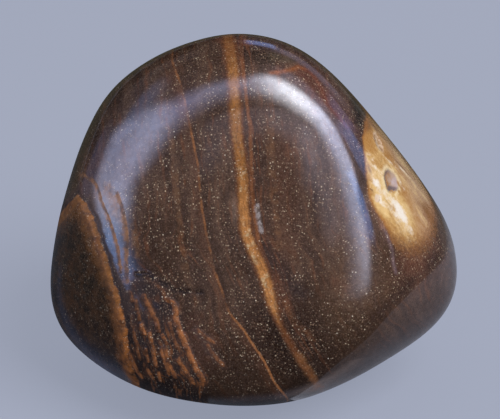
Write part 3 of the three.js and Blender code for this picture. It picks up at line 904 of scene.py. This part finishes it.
def polished_ironstone():
    """The one finish of the stone: sandy brown ironstone, opal seams, the golden patch and bright grains."""
    s = StoneShader("polished_ironstone")
    y = s.layer("face_y")

    # Ironstone: brown, in faint layers side by side with the seams, with soft darker and redder clouds.
    across = s.plus(s.layer("main_seam"), s.scaled(s.noise(500.0), 0.6, -0.3))
    layers = s.drawn_out(across, y, 0.12, 1.3, 5.0, 0.6)
    body = s.mix(s.step(layers, 0.36, 0.66), (67, 50, 43), (92, 70, 58))
    body = s.lay(body, (61, 43, 33), s.step(s.noise(240.0, 3.0, 0.55), 0.42, 0.66, 0.0, 0.75))
    red = s.drawn_out(across, y, 0.12, 2.6, 4.0, 0.65)
    body = s.lay(body, (108, 66, 44), s.step(red, 0.52, 0.7, 0.0, 0.65))
    # the tints, with painted shade low on the face and at the lower left rim and a painted highlight by the
    # gold
    body, tinted = add_tints_and_painted_light(s, body, layers)
    body = add_seams(s, body)
    body = add_ledge(s, body, tinted)
    streaks = s.drawn_out(s.layer("layer_across"), y, 0.22, 3.2, 4.0, 0.65)
    body, on_streak = add_ridges(s, body, streaks)

    # Sand: the whole is speckled, lighter and darker from grain to grain.
    speckle = s.noise(8500.0, 2.0, 0.75)
    shade = s.step(s.noise(2600.0, 3.0, 0.6), 0.34, 0.66, 0.86, 1.14)
    shade = s.times(s.step(speckle, 0.3, 0.72, 0.8, 1.2), shade)
    body = s.add("ShaderNodeVectorMath", {0: body, 3: shade}, operation="SCALE")
    body, in_gold = add_gold(s, body)

    # Few grains show in the gold, on the ledge, low on the face and on the lower right rim.
    keep = s.step(s.layer("lower_right"), 11.2, 11.7, 1.0, 0.12)
    keep = s.times(s.step(in_gold, 0.0, 1.0, 1.0, 0.12), keep, s.step(s.layer("ledge"), 0.0, 0.2, 1.0, 0.65),
                   s.step(y, -12.0, -8.6, 0.4, 1.0))
    body = add_grains(s, body, keep)

    # The polish: a clear coat over fine unevenness, worn in patches and gone from thin layers and streaks.
    uneven = s.scaled(s.noise(2500.0, 3.0), 0.6, speckle)
    uneven = s.scaled(s.times(s.layer("layered"), streaks), 6.0, uneven)
    dull = s.math("MAXIMUM", s.layer("dull"), s.times(on_streak, 0.8))
    worn = s.step(s.noise(2000.0, 4.0, 0.7), 0.34, 0.6, 0.7, 1.0)
    s.show(s.add("ShaderNodeBsdfPrincipled", {
        "Base Color": body,
        "Roughness": s.plus(s.step(speckle, 0.35, 0.65, 0.18, 0.42), s.times(dull, 0.3)),
        "IOR": 1.42,
        "Specular IOR Level": 0.18,
        "Coat Weight": s.times(s.step(dull, 0.15, 0.8, 1.0, 0.05), worn),
        "Coat Roughness": 0.04,
        "Normal": s.add("ShaderNodeBump", {"Strength": 0.4, "Distance": 0.00002, "Height": uneven}),
        "Coat Normal": s.add("ShaderNodeBump", {"Strength": 0.12, "Distance": 0.00001, "Height": speckle}),
    }))
    return s.material


# ---- floor, light and camera ----

CAMERA_DISTANCE = 200.0 * MM
SENSOR = 36.0
VIEW_WIDTH = 37.04 * MM      # width of the view at the stone's middle
VIEW_CENTRE = (-0.222, 0.704)   # the view's middle, in mm in the face frame

FLOOR_HALF = 1.2             # m
FLOOR_COLOUR = (0.115, 0.123, 0.155, 1.0)
FLOOR_GLOW = (0.27, 0.295, 0.375, 1.0)


def add_camera(middle):
    """The camera looks square on to the broad face, from CAMERA_DISTANCE in front of the stone's middle."""
    data = bpy.data.cameras.new("camera")
    data.sensor_width = SENSOR
    data.lens = SENSOR * CAMERA_DISTANCE / VIEW_WIDTH
    data.clip_start = 0.01
    camera = add_object("camera", data)
    camera.location = middle + Vector(leaned(VIEW_CENTRE[0] * MM, VIEW_CENTRE[1] * MM, CAMERA_DISTANCE))
    camera.rotation_euler = Vector(leaned(0, 0, -1)).to_track_quat("-Z", "Y").to_euler()
    bpy.context.scene.camera = camera


def add_floor():
    """A plain pale floor that glows a little, as a lit glass plate does, so the shadow on it stays light."""
    mesh = bpy.data.meshes.new("floor")
    corners = [(-FLOOR_HALF, -FLOOR_HALF, 0), (FLOOR_HALF, -FLOOR_HALF, 0), (FLOOR_HALF, FLOOR_HALF, 0),
               (-FLOOR_HALF, FLOOR_HALF, 0)]
    mesh.from_pydata(corners, [], [(0, 1, 2, 3)])
    floor = add_object("floor", mesh)
    s = Shader("pale_floor")
    s.show(s.add("ShaderNodeBsdfPrincipled", {
        "Base Color": FLOOR_COLOUR, "Roughness": 0.6, "Specular IOR Level": 0.0,
        "Emission Color": FLOOR_GLOW, "Emission Strength": 1.0,
    }))
    mesh.materials.append(s.material)


def stage_glow(name, points, quads, light, see_through=False):
    """A staged mesh, its points in metres, that glows in its own colours and that only mirrored rays meet."""
    mesh = bpy.data.meshes.new(name)
    mesh.from_pydata(points.tolist(), [], quads.tolist())
    add_colours(mesh, "light", np.pad(light, ((0, 0), (0, 1))))
    glow = add_object(name, mesh)
    glow.visible_camera = False
    glow.visible_diffuse = False
    glow.visible_shadow = False
    glow.visible_transmission = False
    s = Shader(name)
    shown = s.add("ShaderNodeAttribute", output="Color", attribute_name="light")
    shine = s.add("ShaderNodeEmission", {"Color": shown})
    if see_through:
        shine = s.add("ShaderNodeAddShader", {0: s.add("ShaderNodeBsdfTransparent"), 1: shine})
    s.show(shine)
    mesh.materials.append(s.material)


# The arch of soft light that the polish mirrors round the broad face: angle round the camera's direction,
# the polar angles from that direction between which it shines, and its colour and strength.
LIGHT_ARCH = np.array([
    # around, inner, outer, red, green, blue
    (-4, 20, 32, 0.0, 0.0, 0.0),
    (2, 22, 34, 2.2, 2.3, 2.9),
    (6, 24, 36, 4.8, 5.1, 6.6),
    (12, 26, 39, 6.4, 6.7, 8.8),
    (16, 26, 40, 6.4, 6.9, 9.4),
    (20, 26.5, 41, 5.6, 6.4, 9.4),
    (30, 32.5, 58, 7.2, 7.8, 10.5),
    (40, 38.5, 70, 7.4, 8.1, 11.4),
    (50, 45, 72, 12.8, 13.8, 17.4),
    (58, 46, 71, 17.0, 18.0, 21.0),
    (66, 46, 71, 18.5, 19.4, 21.6),
    (74, 49, 72, 16.4, 17.2, 19.4),
    (82, 51, 73, 11.4, 12.0, 14.2),
    (89, 53, 71, 5.9, 6.2, 7.9),
    (95, 52, 66, 3.3, 3.5, 4.9),
    (110, 52, 67, 2.5, 2.7, 4.1),
    (120, 52, 68, 2.3, 2.5, 4.0),
    (130, 53, 72, 2.2, 2.3, 3.8),
    (140, 57, 87, 3.2, 3.6, 5.5),
    (148, 60, 102, 3.0, 3.2, 4.8),
    (156, 51, 97, 3.6, 4.0, 5.9),
    (162, 47, 86, 3.8, 4.1, 5.9),
    (168, 45.5, 78, 2.6, 3.5, 5.8),
    (176, 44, 75, 1.9, 3.2, 6.2),
    (185, 40, 69, 1.3, 2.6, 5.5),
    (195, 32, 60, 0.6, 1.2, 2.8),
    (203, 28, 56, 0.0, 0.0, 0.0),
])
ARCH_FADE = (14.0, 6.5)  # degrees over which the arch fades, on its inner and its outer side, both ways

# At the left, over these angles round, the arch is changed by the first share on its inner side and by the
# second on its outer side, with the step from one to the other between these polar angles.
LEFT_AROUND = (124.0, 142.0, 156.0, 172.0)
LEFT_CHANGE = (0.28, -0.34)
LEFT_POLAR = (69.0, 93.0)

# Smaller soft lights: angle round, half width and softness, polar angle, half width and softness, and colour
# with its strength.
SMALL_LIGHTS = [
    (22, 6, 6, 46, 3, 7, (0.5, 1.7, 4.4)),
    (33, 4, 6, 86, 9, 8, (0.55, 1.15, 2.6)),
    (41, 4, 4, 102, 6, 7, (0.45, 0.45, 1.0)),
    (83, 5, 3, 127, 4, 4, (0.5, 0.76, 1.6)),
    (60, 12, 10, 123, 4, 6, (0.4, 0.38, 0.55)),
    (124, 10, 10, 114, 5, 7, (0.08, 0.08, 0.1)),
    (140, 3, 14, 92, 1, 11, (0.3, 0.5, 1.0)),
    (40, 11, 13, 21, 7, 9, (1.15, 1.1, 1.4)),
    (66, 12, 10, 25, 5, 8, (0.95, 0.95, 1.2)),
    (104, 14, 14, 23, 5, 9, (0.75, 0.65, 0.8)),
    (160, 8, 6, 109, 6, 8, (0.12, 0.16, 0.35)),
    (60, 12, 12, 80, 3, 10, (0.8, 0.88, 1.35)),
    (28, 14, 8, 124, 8, 10, (0.06, 0.06, 0.07)),
]

TENT_POLAR = (8, 150)        # degrees from the camera's direction
TENT_AROUND = (-10, 210)     # degrees round it
TENT_RADIUS = 0.5            # m
TENT_FOOT = 0.06             # share of its radius over which it fades in above the stone's middle
TENT_LEAST = 0.02            # quads with less light in all than this are left out


def light_at(around, polar):
    """Colour of the tent: the arch's colour times two smooth steps in the polar angle, plus the small lights.

    At the left the arch is also times 1 plus LEFT_CHANGE. Each small light is its colour times a smooth step
    in each angle.
    """
    at, *rows = LIGHT_ARCH.T
    inner, outer, *tint = (np.interp(around, at, row) for row in rows)
    share = smoothstep(inner - ARCH_FADE[0], inner + ARCH_FADE[0], polar)
    share *= smoothstep(outer + ARCH_FADE[1], outer - ARCH_FADE[1], polar)
    change = LEFT_CHANGE[0] + (LEFT_CHANGE[1] - LEFT_CHANGE[0]) * smoothstep(*LEFT_POLAR, polar)
    share *= 1.0 + change * band(*LEFT_AROUND, around)
    light = np.stack(tint, axis=1) * share[:, None]
    for at, half, soft, polar_at, polar_half, polar_soft, small_tint in SMALL_LIGHTS:
        share = smoothstep(half + soft, half, np.abs(around - at))
        share *= smoothstep(polar_half + polar_soft, polar_half, np.abs(polar - polar_at))
        light += share[:, None] * np.array(small_tint)
    return light


def add_light_tent(middle):
    """A tent of soft light, part of a sphere round the stone, that only the stone's polish sees."""
    polar, around = np.meshgrid(np.arange(TENT_POLAR[0], TENT_POLAR[1] + 1),
                                np.arange(TENT_AROUND[0], TENT_AROUND[1] + 1), indexing="ij")
    quads = grid_quads(*polar.shape)
    polar, around = polar.ravel(), around.ravel()
    directions = np.stack(leaned(*pointing(around, polar).T), axis=1)
    light = light_at(around, polar) * smoothstep(0.0, TENT_FOOT, directions[:, 2])[:, None]
    lit = light[quads].sum(axis=(1, 2)) > TENT_LEAST
    stage_glow("light_tent", directions * TENT_RADIUS + np.array(middle), quads[lit], light)


# A dark card on the floor that only the stone's polish sees, with an opening to the right through which it
# sees the pale floor: the card's colours, and the corners of the opening that have each, in mm from under
# the stone's middle.
CARD = [
    ((0.02, 0.018, 0.016), [(7.1, -10.5), (9.0, -12.6), (12.2, -15.1), (15.9, -16.4), (21.3, -18.0),
                            (33.4, -22.0), (57, -24.7)]),
    ((0.03, 0.028, 0.026), [(79, -17.7)]),
    ((0.04, 0.038, 0.034), [(115, -5), (159, 16), (184, 46)]),
    ((0.04, 0.038, 0.03), [(137, 54)]),
    ((0.05, 0.046, 0.032), [(68, 40)]),
    ((0.05, 0.046, 0.03), [(44, 34), (25, 24)]),
    ((0.045, 0.05, 0.065), [(6, 10)]),
    ((0.035, 0.038, 0.05), [(4, 2)]),
    ((0.04, 0.044, 0.056), [(3, -7.5)]),
]
CARD_MIDDLE = (30.0, 0.0)    # the card widens from here
CARD_SPREAD = 900.0          # mm to its outer edge
CARD_SOFT = 16.0             # width in mm of its soft edge behind the stone
CARD_HARD = 0.5              # width in mm of its edge in front
CARD_HEIGHT = 0.05           # mm above the floor

# In the opening the polish sees a floor with a painted shadow, darker near the stone, and paler along the
# opening's edge.
NEAR_FLOOR = (9.0, -5.0)
FLOOR_RINGS = (0.0, 0.04, 0.1, 0.2, 0.35, 0.55, 0.8, 0.88, 1.0)   # shares of the way to the corners
FLOOR_TINT = (0.94, 0.98, 1.2)


def behind(points):
    """How far back on the floor points lie: 0 up to y = 5 mm, 1 from y = 25 mm on."""
    return smoothstep(5.0, 25.0, points[:, 1])


def floor_glow(points, share):
    """Colour of the pale floor at points on it, each at a share of the way to the opening's edge.

    At d mm from NEAR_FLOOR it is 0.12 + 0.28 (1 - exp(-d / 30)), and 1.5 times that at the front edge.
    """
    far = np.hypot(points[:, 0] - NEAR_FLOOR[0], points[:, 1] - NEAR_FLOOR[1])
    edge = 1.0 + 0.5 * smoothstep(0.8, 1.0, share) * (1.0 - behind(points))
    return ((0.12 + 0.28 * (1.0 - np.exp(-far / 30.0))) * edge)[:, None] * np.array(FLOOR_TINT)


def card_rings(rings):
    """Points in metres and quads of closed rings of places on the floor, each ring joined to the next."""
    count = len(rings[0])
    points = np.full((len(rings) * count, 3), CARD_HEIGHT)
    points[:, :2] = np.concatenate(rings)
    i = np.arange(count)
    j = (i + 1) % count
    ring = np.stack([i, i + count, j + count, j], axis=1)
    return points * MM, np.concatenate([ring + count * number for number in range(len(rings) - 1)])


def add_cards():
    """The dark card, from the corners of its opening to its far edge, and the pale card in the opening.

    Behind the stone the dark card's edge is soft: it starts as pale as the floor there and is dark CARD_SOFT
    further out. The pale card runs from under the stone's right side out to the corners.
    """
    corners = np.array([corner for _, group in CARD for corner in group], float)
    tints = np.array([tint for tint, group in CARD for _ in group])
    back = behind(corners)[:, None]
    away = corners - np.array(CARD_MIDDLE)
    away /= np.linalg.norm(away, axis=1, keepdims=True)
    soft = corners + away * (CARD_HARD + CARD_SOFT * back)
    rings = [corners, soft, np.array(CARD_MIDDLE) + away * CARD_SPREAD]
    edge = tints + back * (floor_glow(corners, 1.0) - tints)
    stage_glow("dark_card", *card_rings(rings), np.concatenate([edge, tints, tints]))

    rings = [np.array(NEAR_FLOOR) + share * (corners - NEAR_FLOOR) for share in FLOOR_RINGS]
    light = floor_glow(np.concatenate(rings), np.repeat(FLOOR_RINGS, len(corners)))
    stage_glow("pale_card", *card_rings(rings), light)


def floor_grid(xs, ys, height):
    """Points and quads of a level grid over the places xs and ys on the floor, all in mm."""
    x, y = np.meshgrid(xs, ys, indexing="ij")
    return np.stack([x.ravel(), y.ravel(), np.full(x.size, height)], axis=1), grid_quads(*x.shape)


# The pale floor behind the stone's right side: where its light begins, is full, and ends, in x and y in mm.
FAR_X = (40, 54, 90, 150)
FAR_Y = (40, 60, 160, 250)
FAR_COLUMNS = (20, 160, 36)  # the mesh in x: from, to and how many points
FAR_ROWS = (38, 260, 56)     # the same in y
FAR_LIGHT = 0.07
FAR_HEIGHT = 0.1


def add_far_card():
    """The pale floor seen in the polish near the outline at the right, with soft edges."""
    points, quads = floor_grid(np.linspace(*FAR_COLUMNS), np.linspace(*FAR_ROWS), FAR_HEIGHT)
    share = band(*FAR_X, points[:, 0]) * band(*FAR_Y, points[:, 1])
    light = FAR_LIGHT * share[:, None] * np.array(FLOOR_TINT)
    stage_glow("far_card", points * MM, quads, light, see_through=True)


# Soft pools of light on the floor close to the stone: half width in mm, light and the points of its path.
POOLS = [
    (2.2, (0.045, 0.06, 0.115), [(-13.0, -3.4), (-17.0, -2.2), (-22.0, 0.0), (-30.0, 6.0), (-36.0, 11.0)]),
    (2.4, (0.13, 0.13, 0.18), [(0.0, -13.4), (3.8, -11.8)]),
    (1.9, (0.2, 0.15, 0.14), [(5.2, -10.4), (7.0, -9.3), (9.2, -8.9), (11.0, -8.9)]),
    (1.7, (0.045, 0.052, 0.075), [(-10.5, -6.6), (-8.0, -8.2), (-4.5, -10.2), (-2.0, -11.6)]),
]
POOL_STEP = 0.8      # mm between the points of the mesh that carries them
POOL_REACH = ((-44.0, 12.0), (-22.0, 20.0))   # the mesh, in x and in y in mm
POOL_HEIGHT = 0.15


def add_pools():
    """The pools, on one fine grid just above the cards.

    Each adds its light times exp(-(distance / half width)^2).
    """
    xs, ys = (np.arange(*reach, POOL_STEP) for reach in POOL_REACH)
    points, quads = floor_grid(xs, ys, POOL_HEIGHT)
    light = np.zeros_like(points)
    for half_width, shown, path in POOLS:
        light += np.exp(-(from_path(path, points[:, :2]) / half_width) ** 2)[:, None] * np.array(shown)
    stage_glow("pools", points * MM, quads, light, see_through=True)


KEY_DIRECTION = (0.5, 0.5, 0.7)      # in the face frame
KEY_DISTANCE = 0.8                   # m
KEY_SIZE = 0.5                       # m
KEY_POWER = 5.0                      # W
AMBIENT = 0.35                       # strength of the even light


def add_key_light(middle):
    """One large soft light from the upper right that only lights, and an even light from all round."""
    data = bpy.data.lights.new("key", "AREA")
    data.size = KEY_SIZE
    data.energy = KEY_POWER
    key = add_object("key", data)
    towards = Vector(leaned(*KEY_DIRECTION)).normalized()
    key.location = middle + towards * KEY_DISTANCE
    key.rotation_euler = (-towards).to_track_quat("-Z", "Y").to_euler()
    key.visible_glossy = False

    world = bpy.data.worlds.new("studio")
    world.use_nodes = True
    background = world.node_tree.nodes["Background"].inputs
    background["Color"].default_value = (1.0, 1.0, 1.0, 1.0)
    background["Strength"].default_value = AMBIENT
    world.cycles_visibility.glossy = False
    bpy.context.scene.world = world


stone, stone_middle = build_stone()
stone.data.materials.append(polished_ironstone())
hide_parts(NODE)
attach(stone, "root")

add_floor()
add_light_tent(stone_middle)
add_cards()
add_far_card()
add_pools()
add_key_light(stone_middle)
add_camera(stone_middle)
bpy.context.scene.view_settings.view_transform = "Standard"

bpy.context.view_layer.update()
